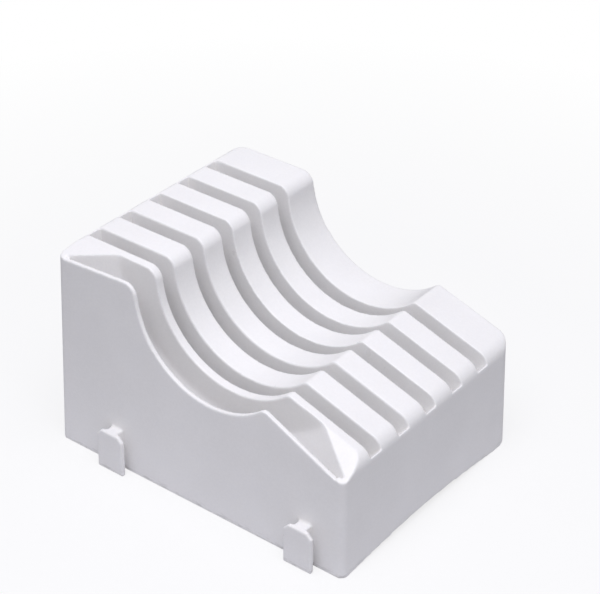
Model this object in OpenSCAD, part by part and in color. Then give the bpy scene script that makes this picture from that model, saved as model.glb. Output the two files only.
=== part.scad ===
// Plate holder: a white moulded stand that holds five dinner plates on edge.
// Millimetres. +X runs along the front from the high side to the low side, -Y is the front, +Z is up.
// The pieces are drawn from the front left corner of the base, and stand() centres them.

/* [Body] */
// Width over the side walls at the base
body_w = 234; // [226:1:242]
// Depth from front face to rear face at the base
body_d = 185; // [180:1:205]
// Height of the level shoulder on the high side
shoulder_h = 146; // [140:1:152]
// Height that the low side's slope reaches at the side face
low_side_h = 79; // [74:1:84]
// Fall of the low side's slope, in degrees
slope = 18; // [15:0.5:21]
// Thickness of the outer walls
wall_t = 3.2; // [2.8:0.1:4]
// Thickness of the inner skins
skin_t = 2.4; // [1.8:0.1:2.6]
// Lean of the outer walls that lets them leave the mould, in degrees
draft = 1.4; // [0.5:0.1:2]
// Radius of the two front upright corners
front_corner_r = 4.5; // [4.5:0.5:8]
// Radius of the two rear upright corners
rear_corner_r = 12; // [8:0.5:14]
// Round-over along the top of the high side
high_edge_r = 5; // [4:0.5:9]
// Round-over along the top of the low side
low_edge_r = 11; // [9:0.5:12]

/* [Front wall] */
// Drop of the front wall's shoulder below the level shoulder, measured where it turns into the scoop
front_shoulder_drop = 2.7; // [1:0.1:4]
// Fall of the front wall's shoulder towards its outer end, in degrees
front_shoulder_fall = 3.2; // [0:0.2:5]
// Round-over of the front wall's high outer corner
front_high_r = 2; // [1.5:0.5:5]
// Distance of the front wall's scoop from the scoop behind it, towards the high side
front_scoop_shift = 2; // [0:0.1:3]
// Drop of the front wall's scoop below the scoop behind it
front_scoop_drop = 1.7; // [0:0.1:3]
// Difference by which the front wall's scoop has the smaller radius
front_scoop_less = 0.7; // [0:0.1:2]
// Drop of the front wall's slope below the low side's, measured at the side face
front_low_drop = 11.3; // [8:0.1:13]
// Fall of the front wall's slope, in degrees
front_slope = 24.9; // [20:0.5:28]
// Round-over of the front wall's low outer corner
front_low_r = 2.5; // [1.5:0.5:5]
// Fall of the high corner towards the front wall, in degrees
high_corner_fall = 15; // [11:0.5:17]
// Fall of the low corner towards the front wall, in degrees
low_corner_fall = 24; // [19:0.5:26]

/* [Scoop] */
// Radius of the finger scoop
scoop_r = 61.5; // [56:0.5:64]
// Distance of the scoop's centre from the middle of the width, towards the low side
scoop_x = 14; // [9:1:19]
// Height of the scoop's centre
scoop_z = 143.5; // [140:0.5:150]
// Rounding where the shoulder turns down into the scoop
shoulder_r = 9; // [6:0.5:12]
// Rounding of the bump between scoop and slope
bump_r = 5; // [3.5:0.5:8]

/* [Plates and slots] */
// Diameter of the plates
plate_d = 250; // [246:1:251]
// Clearance between a plate's rim and the seat it stands on
plate_gap = 4; // [2:0.25:5]
// Distance of the plates' centre line from the middle of the width, towards the low side
plate_x = 17.5; // [15.5:0.5:19.5]
// Height of the plates' centre line
plate_z = 160; // [157:1:164]
// Width of a slot
slot_w = 11; // [8:0.5:13]
// Distance from one slot to the next
slot_pitch = 28.6; // [26:0.2:30]
// Distance from the front face to the first slot
first_slot_y = 28.8; // [28:0.2:31]

/* [Front pocket] */
// Thickness of the wall between the pocket and the first slot
pocket_wall_t = 6.4; // [5:0.2:8]
// Radius of the dished recess at its rear face
recess_rear_r = 97; // [93:1:101]
// Growth of the recess's radius for each millimetre towards the front
recess_flare = 1.95; // [1.7:0.05:2.1]

/* [Coupling tongues] */
// Distance of the first tongue's centre from the middle of the width, towards the high side
tongue_1_x = 66.2; // [56:0.1:72]
// Distance of the second tongue's centre from the middle of the width, towards the low side
tongue_2_x = 87.7; // [75:0.1:91]
// Width of a tongue's head plate
tongue_w = 21.6; // [18:0.2:24]
// Height of a tongue
tongue_h = 30; // [24:1:34]
// Thickness of the head plate
head_t = 3.2; // [2.5:0.1:4]
// Chamfer on the head plate's upper corners
head_chamfer = 4; // [2:0.5:6]
// Width of the stem
stem_w = 9; // [6:0.2:10]
// Length of the stem between front wall and head plate
stem_l = 4.6; // [4.2:0.1:6]
// Clearance round a tongue in the slot of the next holder
tongue_gap = 0.4; // [0.2:0.1:0.8]

/* [Feet] */
// Rise of the shallow arch under each side wall
arch_rise = 4.4; // [2:0.2:6]
// Length of that arch along the side wall
arch_l = 156; // [120:1:156]
// Distance of the arch's middle from the front face
arch_y = 86; // [84:1:90]

/* [Hidden] */
$fn = 128;
slot_count = 5;
arc_steps = 12;
eps = 1;
graze = 0.02;
fine_fn = 512;
lean = tan(draft);
front_end = front_corner_r + lean * shoulder_h;
rear_start = body_d - rear_corner_r - lean * shoulder_h;
slot_r = plate_d / 2 + plate_gap;
side_reach = body_w / 4;
pocket_y = first_slot_y - pocket_wall_t;
divider_w = slot_pitch - slot_w;
last_slot_end = first_slot_y + (slot_count - 1) * slot_pitch + slot_w;
recess_skin = skin_t * sqrt(1 + recess_flare * recess_flare);
tongue_out = stem_l + head_t;
top_z = shoulder_h + eps;
scoop_c = [body_w / 2 + scoop_x, scoop_z];
plate_c = [body_w / 2 + plate_x, plate_z];
tongue_c = [body_w / 2 - tongue_1_x, body_w / 2 + tongue_2_x];

function slot_y(i) = first_slot_y + i * slot_pitch;
function up_normal(fall) = [sin(fall), cos(fall)];
function angle_of(v) = atan2(v[1], v[0]);
function arc(c, r, a0, a1) =
    [for (i = [0 : arc_steps]) let (a = a0 + (a1 - a0) * i / arc_steps) c + r * [cos(a), sin(a)]];

// Centre of a rounding of radius r that touches a straight top edge from below and the scoop from
// outside. The edge passes through q and falls to the right by fall degrees, and side says on which
// side of the scoop the rounding lies. scoop = [centre, radius]
function blend_c(q, fall, r, side, scoop) =
    let (d = [cos(fall), -sin(fall)], u = q - r * up_normal(fall) - scoop[0], b = u * d,
        root = sqrt(b * b - u * u + pow(scoop[1] + r, 2)))
    q - r * up_normal(fall) + d * (side * root - b);

// Centre of the round-over between the high side's leaning face and the shoulder through q
function high_edge_c(q, fall, r) =
    let (z = (q[1] * cos(fall) - r + (q[0] - r / cos(draft)) * sin(fall)) / (cos(fall) + lean * sin(fall)))
    [z * lean + r / cos(draft), z];

// Centre of the round-over between the low side's leaning face and the slope through q
function low_edge_c(q, fall, r) =
    let (z = (q[1] * cos(fall) - r + r / cos(draft) * sin(fall)) / (cos(fall) - lean * sin(fall)))
    [body_w - z * lean - r / cos(draft), z];

// Front view of the top edge and both side faces, drawn in by inset.
// high = [point on the shoulder, its fall, its outer round-over]
// low = [point on the slope at the side face, its fall, its outer round-over]
// scoop = [centre, radius]
module outline(high, low, scoop, inset) {
    ch = high_edge_c(high[0], high[1], high[2]);
    cl = low_edge_c(low[0], low[1], low[2]);
    cs = blend_c(high[0], high[1], shoulder_r, -1, scoop);
    cb = blend_c(low[0], low[1], bump_r, 1, scoop);
    foot = inset > 0 ? -eps : 0;
    difference() {
        polygon(concat(
            [[foot * lean + inset / cos(draft), foot]],
            arc(ch, high[2] - inset, 180 - draft, 90 - high[1]),
            arc(cs, shoulder_r - inset, 90 - high[1], angle_of(scoop[0] - cs)),
            [scoop[0]],
            arc(cb, bump_r - inset, angle_of(scoop[0] - cb), 90 - low[1]),
            arc(cl, low[2] - inset, 90 - low[1], draft),
            [[body_w - foot * lean - inset / cos(draft), foot]]
        ));
        translate(scoop[0]) circle(r = scoop[1] + inset);
    }
}

// Front view shared by everything behind the front wall
module main_outline(inset = 0) {
    outline([[0, shoulder_h], 0, high_edge_r], [[body_w, low_side_h], slope, low_edge_r],
        [scoop_c, scoop_r], inset);
}

// Front view of the front wall, whose rim follows the same wave lower down
module front_outline() {
    high_point = [scoop_c[0] - scoop_r - shoulder_r, shoulder_h - front_shoulder_drop];
    outline([high_point, -front_shoulder_fall, front_high_r],
        [[body_w, low_side_h - front_low_drop], front_slope, front_low_r],
        [scoop_c - [front_scoop_shift, front_scoop_drop], scoop_r - front_scoop_less], 0);
}

// Draws a front view and gives it depth from y0 to y1
module along_y(y0, y1) {
    translate([0, y1, 0]) rotate([90, 0, 0]) linear_extrude(y1 - y0) children();
}

// Block whose front and rear faces lean like the outer walls, drawn in by inset
module leaning_depth(inset = 0) {
    rotate([90, 0, 90]) linear_extrude(body_w) polygon([
        [inset / cos(draft), 0],
        [body_d - inset / cos(draft), 0],
        [body_d - inset / cos(draft) - top_z * lean, top_z],
        [inset / cos(draft) + top_z * lean, top_z]
    ]);
}

// Block whose two side faces lean like the outer walls, drawn in by inset
module leaning_width(inset, y0, y1) {
    along_y(y0, y1) polygon([
        [inset / cos(draft), 0],
        [body_w - inset / cos(draft), 0],
        [body_w - inset / cos(draft) - top_z * lean, top_z],
        [inset / cos(draft) + top_z * lean, top_z]
    ]);
}

// What is cut away to round one upright corner of a box drawn in by inset. sx and sy point from the
// body's middle to the corner, and r is the body's own outer radius there. The rounding leans with
// both faces and stands graze proud of them, so that it cuts them clearly.
module corner_cut(sx, sy, r, inset = 0) {
    turn = atan2(-sy, -sx);
    a = r / cos(draft);
    translate([sx < 0 ? a : body_w - a, sy < 0 ? a : body_d - a, 0])
        rotate([0, 0, turn]) rotate([0, atan(lean * sqrt(2)), 0]) rotate([0, 0, -turn]) difference() {
            translate([sx < 0 ? -2 * r : 0, sy < 0 ? -2 * r : 0, -r]) cube([2 * r, 2 * r, top_z + 2 * r]);
            translate([0, 0, -2 * r]) cylinder(h = top_z + 4 * r, r = r - inset + graze);
        }
}

module front_corner_cuts(inset = 0) {
    corner_cut(-1, -1, front_corner_r, inset);
    corner_cut(1, -1, front_corner_r, inset);
}

module rear_corner_cuts(inset = 0) {
    corner_cut(-1, 1, rear_corner_r, inset);
    corner_cut(1, 1, rear_corner_r, inset);
}

// What is cut away where both corners fall towards the front wall, drop below their top faces. The
// falls begin graze behind the pocket, so that they cut the pieces that end there clearly.
module corner_falls(drop = 0) {
    length = 2 * pocket_y;
    translate([0, pocket_y + graze, shoulder_h - drop]) rotate([high_corner_fall, 0, 0])
        translate([-eps, -length, 0]) cube([scoop_c[0], length + eps, shoulder_h]);
    translate([body_w, pocket_y + graze, low_side_h - drop]) rotate([low_corner_fall, slope, 0])
        translate([-scoop_r, -length, 0]) cube([2 * scoop_r, length + eps, shoulder_h]);
}

// Disc round the plates' centre line, from y0 to y1
module plate_disc(r, y0, y1) {
    translate([plate_c[0], y1, plate_c[1]]) rotate([90, 0, 0]) cylinder(r = r, h = y1 - y0);
}

// Dished recess round the plates' centre line, widest at the front, with its wall drawn out by grow
module recess(grow) {
    r_front = recess_rear_r + pocket_y * recess_flare;
    translate([plate_c[0], pocket_y, plate_c[1]]) rotate([90, 0, 0])
        cylinder(h = pocket_y, r1 = recess_rear_r + grow, r2 = r_front + grow);
}

// Space inside the four outer walls, from y0 to y1
module inside(y0, y1) {
    intersection() {
        leaning_width(wall_t, y0, y1);
        leaning_depth(wall_t);
    }
}

// Slot in the rear wall that takes the stem of the next holder's tongue
module tongue_slot(x) {
    w = stem_w + 2 * tongue_gap;
    translate([x - w / 2, body_d - rear_corner_r, -eps])
        cube([w, rear_corner_r + eps, tongue_h + tongue_gap + eps]);
}

// Arch that leaves each side wall standing on its two ends
module side_arch() {
    r = arch_l * arch_l / (8 * arch_rise) + arch_rise / 2;
    translate([-eps, arch_y, arch_rise - r]) rotate([0, 90, 0])
        cylinder(r = r, h = body_w + 2 * eps, $fn = fine_fn);
}

// Tops of the front corners, which fall with the decks behind them
module front_corner_posts() {
    intersection() {
        difference() {
            along_y(0, front_end) main_outline();
            corner_falls();
        }
        union() {
            cube([front_end, front_end, top_z]);
            translate([body_w - front_end, 0, 0]) cube([front_end, front_end, top_z]);
        }
    }
}

module front_wall() {
    color("whitesmoke") difference() {
        intersection() {
            union() {
                along_y(0, front_end) front_outline();
                front_corner_posts();
            }
            leaning_depth();
        }
        difference() {
            inside(0, front_end + eps);
            front_corner_cuts(wall_t);
        }
        front_corner_cuts();
    }
}

module rear_wall() {
    color("whitesmoke") difference() {
        intersection() {
            along_y(rear_start, body_d) main_outline();
            leaning_depth();
        }
        difference() {
            inside(rear_start - eps, body_d);
            rear_corner_cuts(wall_t);
        }
        rear_corner_cuts();
        tongue_slot(tongue_c[0]);
        tongue_slot(tongue_c[1]);
    }
}

// Both side walls, with the ends of the slots cut into their rims
module side_walls() {
    difference() {
        along_y(front_end, rear_start) main_outline();
        leaning_width(wall_t, 0, body_d);
        for (i = [0 : slot_count - 1]) plate_disc(slot_r, slot_y(i), slot_y(i) + slot_w);
        side_arch();
        corner_falls();
    }
}

module high_side_wall() {
    color("whitesmoke") intersection() {
        side_walls();
        cube([side_reach, body_d, top_z]);
    }
}

module low_side_wall() {
    color("whitesmoke") intersection() {
        side_walls();
        translate([body_w - side_reach, 0, 0]) cube([side_reach, body_d, top_z]);
    }
}

// Wall between pocket and first slot: solid behind the recess, and a skin outside it
module pocket_wall() {
    color("whitesmoke") intersection() {
        along_y(pocket_y, first_slot_y) main_outline();
        inside(pocket_y, first_slot_y);
        union() {
            plate_disc(recess_rear_r + recess_skin, pocket_y, first_slot_y);
            plate_disc(slot_r + skin_t, first_slot_y - skin_t, first_slot_y);
        }
    }
}

// Flaring floor of the pocket
module pocket_floor() {
    color("whitesmoke") difference() {
        intersection() {
            recess(recess_skin);
            along_y(0, pocket_y) main_outline();
            inside(0, pocket_y);
        }
        recess(0);
        corner_falls();
        front_corner_cuts(wall_t);
    }
}

// Top skin between recess, side wall and first slot
module corner_decks() {
    difference() {
        intersection() {
            along_y(0, first_slot_y - skin_t) main_outline();
            inside(0, first_slot_y - skin_t);
        }
        difference() {
            along_y(-eps, first_slot_y) main_outline(skin_t);
            corner_falls(skin_t);
        }
        recess(recess_skin);
        plate_disc(recess_rear_r + recess_skin, pocket_y - eps, first_slot_y);
        corner_falls();
        front_corner_cuts(wall_t);
    }
}

module high_corner_deck() {
    color("whitesmoke") intersection() {
        corner_decks();
        cube([scoop_c[0], first_slot_y, top_z]);
    }
}

module low_corner_deck() {
    color("whitesmoke") intersection() {
        corner_decks();
        translate([scoop_c[0], 0, 0]) cube([body_w - scoop_c[0], first_slot_y, top_z]);
    }
}

// Hollow land between two slots, open underneath
module divider(i) {
    y0 = slot_y(i) + slot_w;
    y1 = y0 + divider_w;
    color("whitesmoke") difference() {
        intersection() {
            along_y(y0, y1) main_outline();
            inside(y0, y1);
            plate_disc(slot_r + skin_t, y0, y1);
        }
        along_y(y0 + skin_t, y1 - skin_t) main_outline(skin_t);
    }
}

// Hollow land between the last slot and the rear wall
module rear_deck() {
    y0 = last_slot_end;
    color("whitesmoke") intersection() {
        difference() {
            inside(y0, body_d);
            rear_corner_cuts(wall_t);
        }
        union() {
            intersection() {
                along_y(y0, y0 + skin_t) main_outline();
                plate_disc(slot_r + skin_t, y0, y0 + skin_t);
            }
            difference() {
                along_y(y0, body_d) main_outline();
                along_y(y0 - eps, body_d + eps) main_outline(skin_t);
            }
        }
    }
}

// Curved strip at the bottom of a slot that a plate stands on
module slot_seat(i) {
    y0 = slot_y(i);
    y1 = y0 + slot_w;
    color("whitesmoke") difference() {
        intersection() {
            plate_disc(slot_r + skin_t, y0, y1);
            along_y(y0, y1) main_outline();
            inside(y0, y1);
        }
        plate_disc(slot_r, y0 - eps, y1 + eps);
    }
}

// T-shaped tongue on the foot of the front wall
module tongue(x) {
    color("whitesmoke") difference() {
        union() {
            translate([x, -stem_l, 0]) rotate([90, 0, 0]) linear_extrude(head_t) polygon([
                [-tongue_w / 2, 0],
                [tongue_w / 2, 0],
                [tongue_w / 2, tongue_h - head_chamfer],
                [tongue_w / 2 - head_chamfer, tongue_h],
                [head_chamfer - tongue_w / 2, tongue_h],
                [-tongue_w / 2, tongue_h - head_chamfer]
            ]);
            translate([x - stem_w / 2, -stem_l, 0]) cube([stem_w, stem_l + wall_t / 2, tongue_h]);
        }
        leaning_depth();
    }
}

// Puts the origin under the middle of the whole stand, tongues included
module stand() {
    translate([-body_w / 2, (tongue_out - body_d) / 2, 0]) children();
}

stand() front_wall();
stand() rear_wall();
stand() high_side_wall();
stand() low_side_wall();
stand() pocket_wall();
stand() pocket_floor();
stand() high_corner_deck();
stand() low_corner_deck();
stand() divider(0);  // divider_1
stand() divider(1);  // divider_2
stand() divider(2);  // divider_3
stand() divider(3);  // divider_4
stand() rear_deck();
stand() slot_seat(0);  // slot_seat_1
stand() slot_seat(1);  // slot_seat_2
stand() slot_seat(2);  // slot_seat_3
stand() slot_seat(3);  // slot_seat_4
stand() slot_seat(4);  // slot_seat_5
stand() tongue(tongue_c[0]);  // tongue_1
stand() tongue(tongue_c[1]);  // tongue_2
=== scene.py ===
import bpy
import bmesh
import math
import numpy as np
from mathutils import Matrix, Vector


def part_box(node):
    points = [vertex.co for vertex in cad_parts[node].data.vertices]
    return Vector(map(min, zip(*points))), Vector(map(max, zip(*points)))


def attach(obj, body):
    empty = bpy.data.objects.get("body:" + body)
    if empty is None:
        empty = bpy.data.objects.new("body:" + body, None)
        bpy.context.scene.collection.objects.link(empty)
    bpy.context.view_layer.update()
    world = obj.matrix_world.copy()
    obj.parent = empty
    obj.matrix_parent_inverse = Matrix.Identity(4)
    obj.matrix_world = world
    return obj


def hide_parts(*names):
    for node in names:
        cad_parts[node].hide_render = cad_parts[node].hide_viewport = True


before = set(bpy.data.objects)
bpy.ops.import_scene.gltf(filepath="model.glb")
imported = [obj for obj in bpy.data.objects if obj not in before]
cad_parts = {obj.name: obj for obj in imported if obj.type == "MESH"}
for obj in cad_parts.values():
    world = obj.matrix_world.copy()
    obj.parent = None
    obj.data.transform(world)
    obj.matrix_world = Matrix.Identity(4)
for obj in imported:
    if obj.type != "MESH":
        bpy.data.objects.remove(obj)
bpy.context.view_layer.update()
print("frame loaded,", len(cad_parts), "nodes")

mm = 0.001


def toLinear(hexColour):
    parts = [int(hexColour[i:i + 2], 16) / 255 for i in (1, 3, 5)]
    return tuple(p / 12.92 if p <= 0.04045 else ((p + 0.055) / 1.055) ** 2.4
                 for p in parts) + (1.0,)


# Settings and links go to sockets by name or number. On a Mix node 0 is the factor, 2 and 3 are
# its numbers, 6 and 7 its colours, and output 2 is the mixed colour.
def addNode(tree, kind, settings=None, links=None):
    node = tree.nodes.new(kind)
    for name, value in (settings or {}).items():
        if isinstance(name, int) or name in node.inputs.keys():
            node.inputs[name].default_value = value
        else:
            setattr(node, name, value)
    for name, source in (links or {}).items():
        tree.links.new(source, node.inputs[name])
    return node


# The camera stands where the photograph was taken from, 38 degrees to the right of the front
# and 33 above
cameraSettings = {
    "place": (662.561, -836.660, 802.500),    # mm
    "right": (0.78718, 0.61668, 0.00768),
    "up": (-0.33972, 0.42318, 0.83994),
    "back": (0.51473, -0.66380, 0.54262),
    "lens": 120.0, "sensor": 36.0,            # mm
    "farthest": 100.0,                        # m
}


def makeCamera(settings):
    data = bpy.data.cameras.new("camera")
    data.sensor_width = settings["sensor"]
    data.lens = settings["lens"]
    data.clip_end = settings["farthest"]
    camera = bpy.data.objects.new("camera", data)
    turn = Matrix([settings["right"], settings["up"], settings["back"]]).transposed()
    camera.matrix_world = Matrix.Translation(Vector(settings["place"]) * mm) @ turn.to_4x4()
    bpy.context.scene.collection.objects.link(camera)
    bpy.context.scene.camera = camera


lightSettings = {
    "skyHex": "#F4F4F8", "skyStrength": 0.49,
    "softboxHex": "#F6F5FF", "softboxWatts": 14.8, "softboxSize": 1200,    # mm
    "softboxPlace": (265, -390, 1430), "softboxAim": (0, 0, 60),           # mm
}


def makeLight(settings):
    # The room lights the moulding softly, while the eye and the gloss see it as plain white
    world = bpy.data.worlds.new("softbox room")
    world.use_nodes = True
    tree = world.node_tree
    tree.nodes.clear()
    path = addNode(tree, "ShaderNodeLightPath")
    room = addNode(tree, "ShaderNodeBackground",
                   {"Color": toLinear(settings["skyHex"]), "Strength": settings["skyStrength"]})
    white = addNode(tree, "ShaderNodeBackground", {"Color": (1, 1, 1, 1), "Strength": 1.0})
    seen = addNode(tree, "ShaderNodeMath", {"operation": "MAXIMUM"},
                   {0: path.outputs["Is Camera Ray"], 1: path.outputs["Is Glossy Ray"]})
    both = addNode(tree, "ShaderNodeMixShader",
                   links={0: seen.outputs[0], 1: room.outputs[0], 2: white.outputs[0]})
    addNode(tree, "ShaderNodeOutputWorld", links={"Surface": both.outputs[0]})
    bpy.context.scene.world = world

    lamp = bpy.data.lights.new("softbox", "AREA")
    lamp.shape = "SQUARE"
    lamp.size = settings["softboxSize"] * mm
    lamp.energy = settings["softboxWatts"]
    lamp.color = toLinear(settings["softboxHex"])[:3]
    holder = bpy.data.objects.new("softbox", lamp)
    place = Vector(settings["softboxPlace"]) * mm
    aim = Vector(settings["softboxAim"]) * mm
    turn = (aim - place).to_track_quat("-Z", "Y").to_matrix().to_4x4()
    holder.matrix_world = Matrix.Translation(place) @ turn
    bpy.context.scene.collection.objects.link(holder)


floorSettings = {
    "size": 12000,                                                     # mm
    "hex": "#F4F4F6",
    "shadowShare": 0.25, "shadowFrom": 260, "shadowTo": 620,           # mm from the middle
    "nearHex": "#C6C6CA", "farHex": "#868689",
    "nearReach": 150, "farReach": 550,                                 # mm from the middle
}


def makeFloor(settings):
    shape = bmesh.new()
    bmesh.ops.create_grid(shape, x_segments=1, y_segments=1, size=settings["size"] * mm / 2)
    mesh = bpy.data.meshes.new("floor")
    shape.to_mesh(mesh)
    shape.free()
    floor = bpy.data.objects.new("floor", mesh)
    bpy.context.scene.collection.objects.link(floor)

    # White paper sweep: the moulding gets a dim bounce off it, dimmer further out, and the eye
    # sees white with a share of the shadow, which fades out with distance
    paper = bpy.data.materials.new("white paper sweep")
    paper.use_nodes = True
    tree = paper.node_tree
    tree.nodes.clear()
    path = addNode(tree, "ShaderNodeLightPath")
    place = addNode(tree, "ShaderNodeTexCoord")
    distance = addNode(tree, "ShaderNodeVectorMath", {"operation": "LENGTH"},
                       {0: place.outputs["Object"]})
    away = addNode(tree, "ShaderNodeMapRange",
                   {"From Min": settings["nearReach"] * mm, "From Max": settings["farReach"] * mm},
                   {"Value": distance.outputs["Value"]})
    bounce = addNode(tree, "ShaderNodeMix",
                     {"data_type": "RGBA", 6: toLinear(settings["nearHex"]),
                      7: toLinear(settings["farHex"])},
                     {0: away.outputs[0]})
    tone = addNode(tree, "ShaderNodeMix", {"data_type": "RGBA", 7: toLinear(settings["hex"])},
                   {0: path.outputs["Is Camera Ray"], 6: bounce.outputs[2]})
    matt = addNode(tree, "ShaderNodeBsdfDiffuse", links={"Color": tone.outputs[2]})
    glow = addNode(tree, "ShaderNodeEmission", {"Color": (1, 1, 1, 1), "Strength": 1.0})
    share = addNode(tree, "ShaderNodeMapRange",
                    {"From Min": settings["shadowFrom"] * mm,
                     "From Max": settings["shadowTo"] * mm,
                     "To Min": 1 - settings["shadowShare"], "To Max": 1.0},
                    {"Value": distance.outputs["Value"]})
    seen = addNode(tree, "ShaderNodeMath", {"operation": "MULTIPLY"},
                   {0: path.outputs["Is Camera Ray"], 1: share.outputs[0]})
    both = addNode(tree, "ShaderNodeMixShader",
                   links={0: seen.outputs[0], 1: matt.outputs[0], 2: glow.outputs[0]})
    addNode(tree, "ShaderNodeOutputMaterial", links={"Surface": both.outputs[0]})
    mesh.materials.append(paper)


bodySettings = {
    "mergeWithin": 0.002,           # mm
    "voxel": 0.7,                   # mm, grid that the moulding is rebuilt on
    "smoothing": 0.5,               # share of the way to its neighbours that a point moves a pass
    "softenSteps": 5,               # passes that round every edge to about 0.9 mm
    "keepFaces": 0.085,             # share of the grid's faces
    "seatAxis": (17.5, 160),        # mm, x and z of the axis that seats and pocket curve round
    "creaseRadius": 97,             # mm, where the pocket's floor meets its wall
    "creaseReach": 14,              # mm to each side that the crease is eased over
    "creaseFade": 4,                # mm over which the easing fades in from that reach
    "creaseFacing": -0.8,           # y of the normal, so that only faces turned to the front move
    "creaseSteps": 60,
    "bendRadius": 1.5,              # mm, round-over that counts as fully bent
    "bendBlurs": 2,
}


def mergedCopy(name, reach):
    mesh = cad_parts[name].data.copy()
    shape = bmesh.new()
    shape.from_mesh(mesh)
    bmesh.ops.remove_doubles(shape, verts=shape.verts, dist=reach)
    shape.to_mesh(mesh)
    shape.free()
    mesh.materials.clear()
    return bpy.data.objects.new("copy of " + name, mesh)


def applyModifiers(piece):
    depsgraph = bpy.context.evaluated_depsgraph_get()
    mesh = bpy.data.meshes.new_from_object(piece.evaluated_get(depsgraph))
    piece.modifiers.clear()
    piece.data = mesh


def makeMoulding(settings):
    copies = [mergedCopy(name, settings["mergeWithin"] * mm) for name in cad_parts]
    others = bpy.data.collections.new("copies")
    bpy.context.scene.collection.children.link(others)
    moulding = copies[0]
    bpy.context.scene.collection.objects.link(moulding)
    for copy in copies[1:]:
        others.objects.link(copy)
    join = moulding.modifiers.new("join", "BOOLEAN")
    join.operation = "UNION"
    join.operand_type = "COLLECTION"
    join.collection = others
    join.solver = "EXACT"
    applyModifiers(moulding)
    for copy in copies[1:]:
        bpy.data.objects.remove(copy)
    bpy.data.collections.remove(others)
    print("solids joined,", len(moulding.data.polygons), "faces")

    grid = moulding.modifiers.new("grid", "REMESH")
    grid.mode = "VOXEL"
    grid.voxel_size = settings["voxel"] * mm
    applyModifiers(moulding)
    print("rebuilt on an even grid,", len(moulding.data.polygons), "faces")

    soften = moulding.modifiers.new("soften", "SMOOTH")
    soften.factor = settings["smoothing"]
    soften.iterations = settings["softenSteps"]
    applyModifiers(moulding)

    # The pocket's floor runs into its wall in a soft hollow
    wallFace = float(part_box("pocket_wall")[0][1])
    axisX, axisZ = (value * mm for value in settings["seatAxis"])
    crease = moulding.vertex_groups.new(name="pocket crease")
    for point in moulding.data.vertices:
        offRing = math.hypot(point.co.x - axisX, point.co.z - axisZ) - settings["creaseRadius"] * mm
        away = max(abs(offRing), abs(point.co.y - wallFace)) / mm
        if away < settings["creaseReach"] and point.normal.y < settings["creaseFacing"]:
            weight = min(1.0, (settings["creaseReach"] - away) / settings["creaseFade"])
            crease.add([point.index], weight, "REPLACE")
    ease = moulding.modifiers.new("ease", "SMOOTH")
    ease.vertex_group = crease.name
    ease.factor = settings["smoothing"]
    ease.iterations = settings["creaseSteps"]
    applyModifiers(moulding)
    moulding.vertex_groups.clear()

    thin = moulding.modifiers.new("thin", "DECIMATE")
    thin.decimate_type = "COLLAPSE"
    thin.ratio = settings["keepFaces"]
    applyModifiers(moulding)
    for face in moulding.data.polygons:
        face.use_smooth = True
    weigh = moulding.modifiers.new("weigh", "WEIGHTED_NORMAL")
    weigh.mode = "FACE_AREA"
    applyModifiers(moulding)
    print("moulding done,", len(moulding.data.polygons), "faces")
    moulding.name = "moulding"
    moulding.data.name = "moulding"
    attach(moulding, "root")
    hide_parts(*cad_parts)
    return moulding


# Writes how sharply the surface bends at each point, outward as "edge" and inward as "hollow"
def markBends(mesh, settings):
    points = np.empty(len(mesh.vertices) * 3)
    normals = np.empty(len(mesh.vertices) * 3)
    pairs = np.empty(len(mesh.edges) * 2, dtype=np.int64)
    mesh.vertices.foreach_get("co", points)
    mesh.vertex_normals.foreach_get("vector", normals)
    mesh.edges.foreach_get("vertices", pairs)
    points, normals, pairs = points.reshape(-1, 3), normals.reshape(-1, 3), pairs.reshape(-1, 2)

    # Curvature along every mesh edge from both its ends, then its mean at each point
    ends = np.concatenate([pairs, pairs[:, ::-1]])
    step = points[ends[:, 1]] - points[ends[:, 0]]
    smallest = 1e-9    # m2
    bend = -2 * np.sum(step * normals[ends[:, 0]], axis=1)
    bend = bend / np.maximum(np.sum(step * step, axis=1), smallest)
    count = np.maximum(np.bincount(ends[:, 0], minlength=len(points)), 1)
    value = np.bincount(ends[:, 0], bend, len(points)) / count
    for turn in range(settings["bendBlurs"]):
        around = np.bincount(ends[:, 0], value[ends[:, 1]], len(points)) / count
        value = 0.5 * value + 0.5 * around

    # A round-over bends in one direction only, so its mean over all directions is half of it
    value = value * settings["bendRadius"] * mm * 2
    for name, part in (("edge", value), ("hollow", -value)):
        layer = mesh.attributes.new(name, "FLOAT", "POINT")
        layer.data.foreach_set("value", np.clip(part, 0, 1).astype(np.float32))
    print("bends marked, edge mean", round(float(np.clip(value, 0, 1).mean()), 3))


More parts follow.
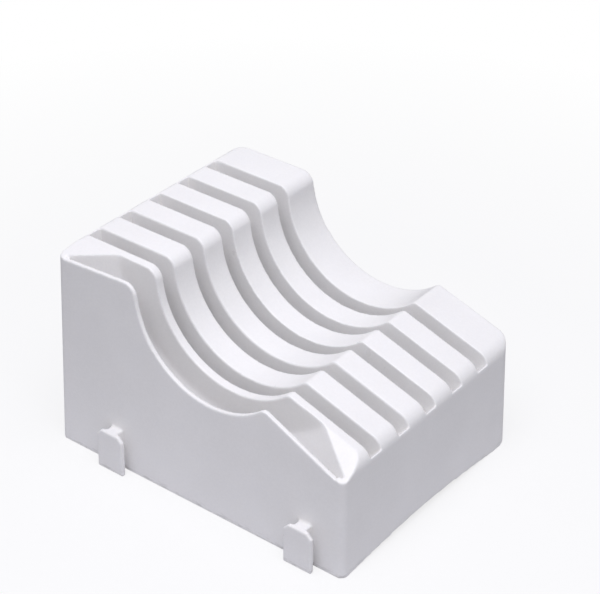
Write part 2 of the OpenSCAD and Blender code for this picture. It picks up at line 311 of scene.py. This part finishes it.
plasticSettings = {
    "cleanHex": "#FAF9F8", "cloudHex": "#F3F2F1", "speckShare": 0.35,
    # lint and painted crease shade share one warm darker tint
    "lintAndShadeHex": "#CFC9BE", "lintAndShadeShare": 0.35,
    "scuffHex": "#B5B2AE", "scuffReach": 5, "scuffShare": 0.55,         # mm above the foot
    "roughness": 0.42, "patchDepth": 0.05, "edgeDepth": -0.1, "lintShadeAndScuffDepth": 0.12,
    "smudgeDepth": -0.07, "handFrom": 60, "handTo": 90,                 # mm above the foot
    "grainDepth": 0.03, "grainStrength": 0.6, "waveDepth": 0.08,        # mm
    "refraction": 1.55,
    "creep": 2.0, "creepWeight": 0.12, "creepColours": (1.0, 0.95, 0.88),    # mm
    "patternRoughness": 0.6,
    "patterns": {                                                       # size in mm
        "cloud": {"size": 60, "detail": 2, "stretch": (1, 1, 1), "low": 0.32, "high": 0.68},
        "speck": {"size": 1.6, "detail": 1, "stretch": (1, 1, 1), "low": 0.35, "high": 0.65},
        "lintAndShade": {"size": 6, "detail": 3, "stretch": (1, 1, 1), "low": 0.15, "high": 0.7},
        "scuff": {"size": 1.5, "detail": 3, "stretch": (5, 5, 1), "low": 0.5, "high": 0.62},
        "patch": {"size": 8, "detail": 3, "stretch": (1, 1, 1), "low": 0.3, "high": 0.7},
        "smudge": {"size": 16, "detail": 2, "stretch": (1, 1, 2), "low": 0.52, "high": 0.66},
        "grain": {"size": 1.3, "detail": 2, "stretch": (1, 1, 1), "low": 0.0, "high": 1.0},
        "wave": {"size": 25, "detail": 0, "stretch": (1, 1, 1), "low": 0.0, "high": 1.0},
    },
}


def makePlastic(settings):
    # Injection moulded white polystyrene with a spark-eroded satin skin: a broad soft gloss, edges
    # polished by hands, duller hollows, and light that creeps about 2 mm into thin rims
    plastic = bpy.data.materials.new("satin moulded white polystyrene")
    plastic.use_nodes = True
    tree = plastic.node_tree
    tree.nodes.clear()
    place = addNode(tree, "ShaderNodeTexCoord").outputs["Object"]
    height = addNode(tree, "ShaderNodeSeparateXYZ", links={0: place}).outputs["Z"]
    edge = addNode(tree, "ShaderNodeAttribute", {"attribute_name": "edge"}).outputs["Fac"]
    hollow = addNode(tree, "ShaderNodeAttribute", {"attribute_name": "hollow"}).outputs["Fac"]

    # Every pattern is a noise of a real size, drawn out along some axes and spread over a range
    patterns = {}
    for name, pattern in settings["patterns"].items():
        turned = addNode(tree, "ShaderNodeMapping",
                         {"Scale": [1 / s for s in pattern["stretch"]]}, {"Vector": place})
        noise = addNode(tree, "ShaderNodeTexNoise",
                        {"Scale": 1 / (pattern["size"] * mm), "Detail": pattern["detail"],
                         "Roughness": settings["patternRoughness"]},
                        {"Vector": turned.outputs[0]})
        spread = addNode(tree, "ShaderNodeMapRange",
                         {"From Min": pattern["low"], "From Max": pattern["high"]},
                         {"Value": noise.outputs[0]})
        patterns[name] = spread.outputs[0]

    # Colour: clouds of melt flow with pigment specks, lint with painted warm shade in the hollows,
    # grey scuffs on the foot
    fleck = addNode(tree, "ShaderNodeMix", {0: settings["speckShare"]},
                    {2: patterns["cloud"], 3: patterns["speck"]})
    colour = addNode(tree, "ShaderNodeMix",
                     {"data_type": "RGBA", 6: toLinear(settings["cleanHex"]),
                      7: toLinear(settings["cloudHex"])},
                     {0: fleck.outputs[0]})
    # Lint and painted shade: a warm darker tint laid into the hollows, where the creases would be
    # in shade
    lintAndShade = addNode(tree, "ShaderNodeMath", {"operation": "MULTIPLY"},
                   {0: hollow, 1: patterns["lintAndShade"]})
    lintAndShadeShare = addNode(tree, "ShaderNodeMath",
                        {"operation": "MULTIPLY", 1: settings["lintAndShadeShare"]}, {0: lintAndShade.outputs[0]})
    colour = addNode(tree, "ShaderNodeMix",
                     {"data_type": "RGBA", 7: toLinear(settings["lintAndShadeHex"])},
                     {0: lintAndShadeShare.outputs[0], 6: colour.outputs[2]})
    foot = addNode(tree, "ShaderNodeMapRange",
                   {"From Max": settings["scuffReach"] * mm, "To Min": settings["scuffShare"],
                    "To Max": 0.0},
                   {"Value": height})
    scuff = addNode(tree, "ShaderNodeMath", {"operation": "MULTIPLY"},
                    {0: foot.outputs[0], 1: patterns["scuff"]})
    colour = addNode(tree, "ShaderNodeMix",
                     {"data_type": "RGBA", 7: toLinear(settings["scuffHex"])},
                     {0: scuff.outputs[0], 6: colour.outputs[2]})

    # Gloss: patchy skin, glossier smudges where hands reach in and on worn edges, duller over the
    # lint, the painted crease shade and the scuffs
    rough = addNode(tree, "ShaderNodeMapRange",
                    {"To Min": settings["roughness"] - settings["patchDepth"],
                     "To Max": settings["roughness"] + settings["patchDepth"]},
                    {"Value": patterns["patch"]})
    reached = addNode(tree, "ShaderNodeMapRange",
                      {"From Min": settings["handFrom"] * mm, "From Max": settings["handTo"] * mm,
                       "To Max": settings["smudgeDepth"]},
                      {"Value": height})
    rough = addNode(tree, "ShaderNodeMath", {"operation": "MULTIPLY_ADD"},
                    {0: patterns["smudge"], 1: reached.outputs[0], 2: rough.outputs[0]})
    rough = addNode(tree, "ShaderNodeMath",
                    {"operation": "MULTIPLY_ADD", 1: settings["edgeDepth"]},
                    {0: edge, 2: rough.outputs[0]})
    lintShadeAndScuff = addNode(tree, "ShaderNodeMath", {"operation": "ADD"},
                   {0: lintAndShade.outputs[0], 1: scuff.outputs[0]})
    rough = addNode(tree, "ShaderNodeMath",
                    {"operation": "MULTIPLY_ADD", 1: settings["lintShadeAndScuffDepth"]},
                    {0: lintShadeAndScuff.outputs[0], 2: rough.outputs[0]})

    # Relief: the real grain is about 0.1 mm wide, drawn coarser so that it shows, over faint
    # sink waves
    sink = addNode(tree, "ShaderNodeBump",
                   {"Strength": 1.0, "Distance": settings["waveDepth"] * mm},
                   {"Height": patterns["wave"]})
    skin = addNode(tree, "ShaderNodeBump",
                   {"Strength": settings["grainStrength"],
                    "Distance": settings["grainDepth"] * mm},
                   {"Height": patterns["grain"], "Normal": sink.outputs[0]})
    shader = addNode(tree, "ShaderNodeBsdfPrincipled",
                     {"IOR": settings["refraction"], "Subsurface Weight": settings["creepWeight"],
                      "Subsurface Radius": settings["creepColours"],
                      "Subsurface Scale": settings["creep"] * mm},
                     {"Base Color": colour.outputs[2], "Roughness": rough.outputs[0],
                      "Normal": skin.outputs[0]})
    addNode(tree, "ShaderNodeOutputMaterial", links={"Surface": shader.outputs[0]})
    return plastic


bpy.context.scene.view_settings.view_transform = "Standard"
makeCamera(cameraSettings)
makeLight(lightSettings)
makeFloor(floorSettings)
print("camera, light and floor placed")
moulding = makeMoulding(bodySettings)
markBends(moulding.data, bodySettings)
moulding.data.materials.append(makePlastic(plasticSettings))
